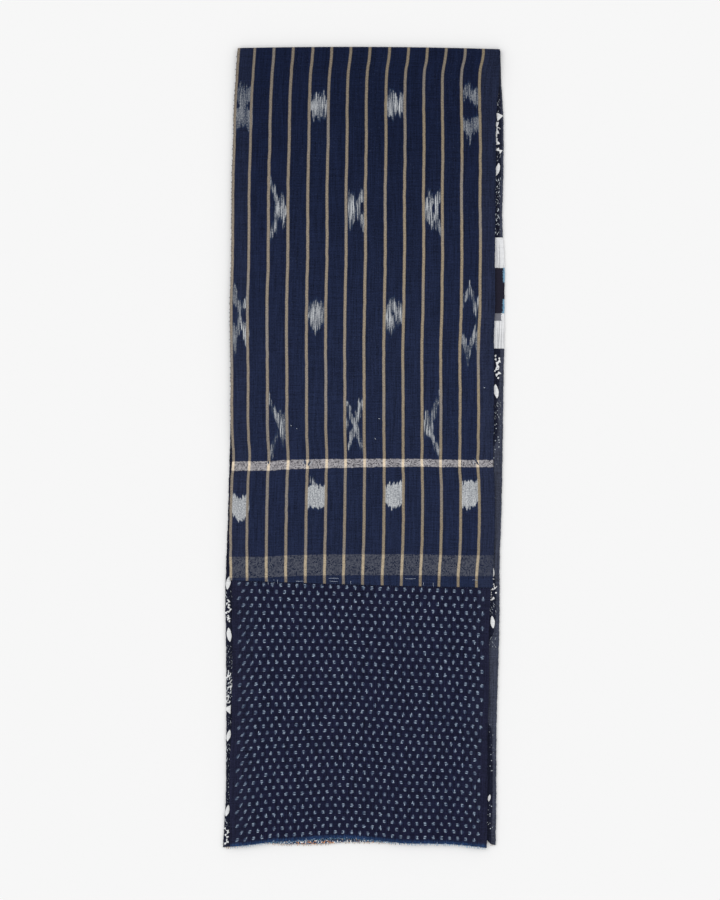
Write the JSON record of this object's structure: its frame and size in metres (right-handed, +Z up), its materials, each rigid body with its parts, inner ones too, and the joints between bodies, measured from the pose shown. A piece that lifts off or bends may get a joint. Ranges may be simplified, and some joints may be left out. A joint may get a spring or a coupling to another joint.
{
  "type": "patchwork scarf",
  "caption": "Cotton patchwork scarf folded in half, with an outer face pieced from striped and dotted indigo cloth and a printed lining.",
  "frame": {"origin": "on the surface it lies on, under the middle of the folded scarf's outline", "axes": "+X across the scarf to its right edge, +Y along it to the fold, +Z up from the surface"},
  "size_m": [0.3376, 0.9621, 0.0068],
  "materials": {
    "striped_kasuri_cotton": "dark indigo plain-weave cotton with tan warp stripes, pale ikat threads and two pale weft bands, matt",
    "dotted_kasuri_cotton": "very dark indigo plain-weave cotton with rows of small pale blue resist dots, matt",
    "printed_lining_cotton": "charcoal cotton printed with white leaves, small triangles and dots, matt",
    "block_patch_cotton": "cotton woven in large white, black and grey blocks, matt",
    "plain_indigo_cotton": "plain dark indigo cotton, matt"
  },
  "bodies": {
    "root": {"striped_panel": "striped_kasuri_cotton", "dotted_panel": "dotted_kasuri_cotton", "printed_lining": "printed_lining_cotton", "block_patch": "block_patch_cotton", "back_panel": "plain_indigo_cotton"}
  },
  "joints": []
}
